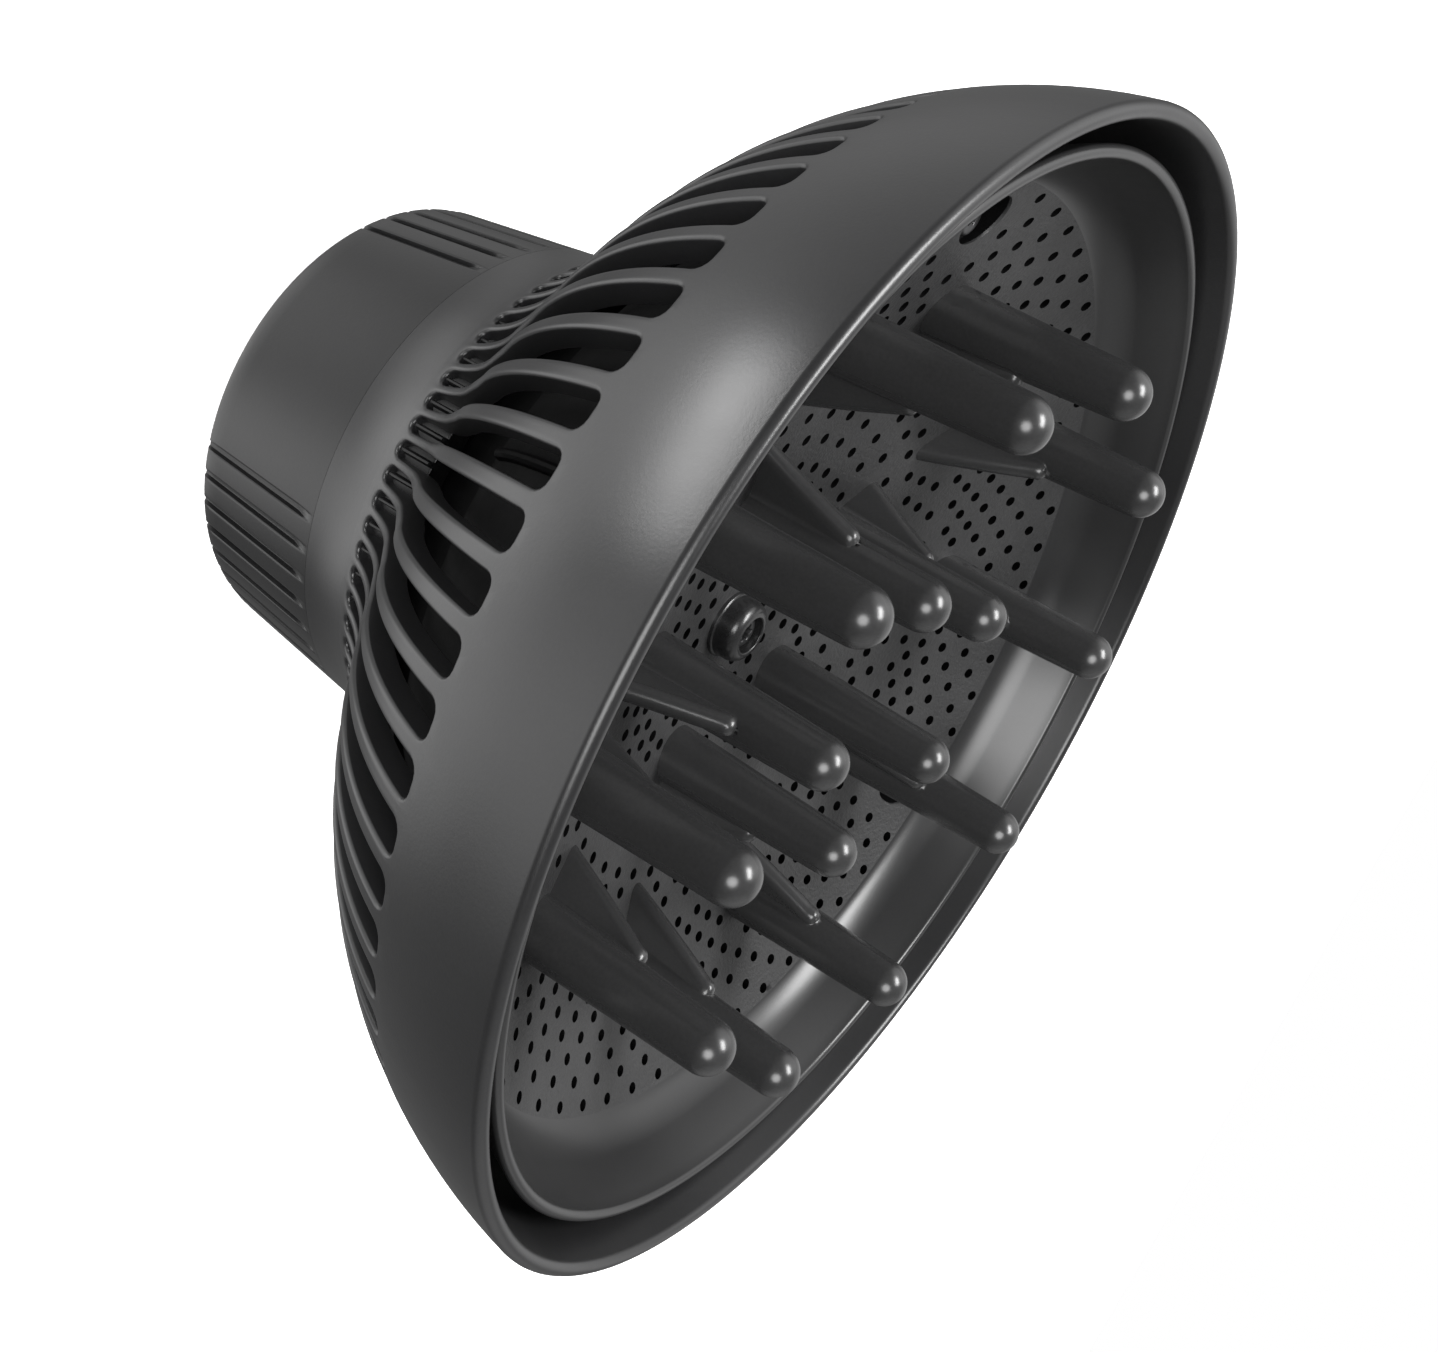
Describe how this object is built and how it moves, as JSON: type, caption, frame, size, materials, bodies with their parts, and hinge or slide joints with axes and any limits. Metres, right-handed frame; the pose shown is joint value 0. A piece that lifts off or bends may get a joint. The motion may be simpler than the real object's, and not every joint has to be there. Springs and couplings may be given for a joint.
{
  "type": "dryer diffuser",
  "caption": "Bell-shaped hair dryer diffuser with a slotted cold-air shell, a perforated dish carrying rounded fingers, and a grip collar that pushes onto the dryer's barrel.",
  "frame": {"origin": "centre of the grip collar's end face, where the dryer's barrel enters and where the diffuser can stand", "axes": "+Z along the axis of revolution, from the collar up to the mouth of the bell; +X and +Y square to it, with the first finger at 9.5 degrees from +X"},
  "size_m": [0.1502, 0.1502, 0.0974],
  "materials": {
    "bell_shell": "satin charcoal moulding with a faintly cool tint",
    "collar_shell": "satin charcoal moulding",
    "sleeve_rubber": "soft matt heat-resistant rubber",
    "bowl_plastic": "fine-grained dish with a polished wall and lip",
    "finger_plastic": "smooth semi-gloss moulding",
    "chamber_black": "matt black heat-resistant moulding",
    "screw_steel": "blackened steel"
  },
  "bodies": {
    "root": {"outer_bell": "bell_shell", "grip_collar": "collar_shell", "barrel_sleeve": "sleeve_rubber", "finger_bowl": "bowl_plastic", "air_chamber": "chamber_black", "air_deflector": "chamber_black", "centre_screw": "screw_steel", "bowl_screws": "screw_steel", "finger_01": "finger_plastic", "finger_02": "finger_plastic", "finger_03": "finger_plastic", "finger_04": "finger_plastic", "finger_05": "finger_plastic", "finger_06": "finger_plastic", "finger_07": "finger_plastic", "finger_08": "finger_plastic", "finger_09": "finger_plastic", "finger_10": "finger_plastic", "finger_11": "finger_plastic", "finger_12": "finger_plastic", "finger_13": "finger_plastic", "finger_14": "finger_plastic", "finger_15": "finger_plastic"}
  },
  "joints": []
}
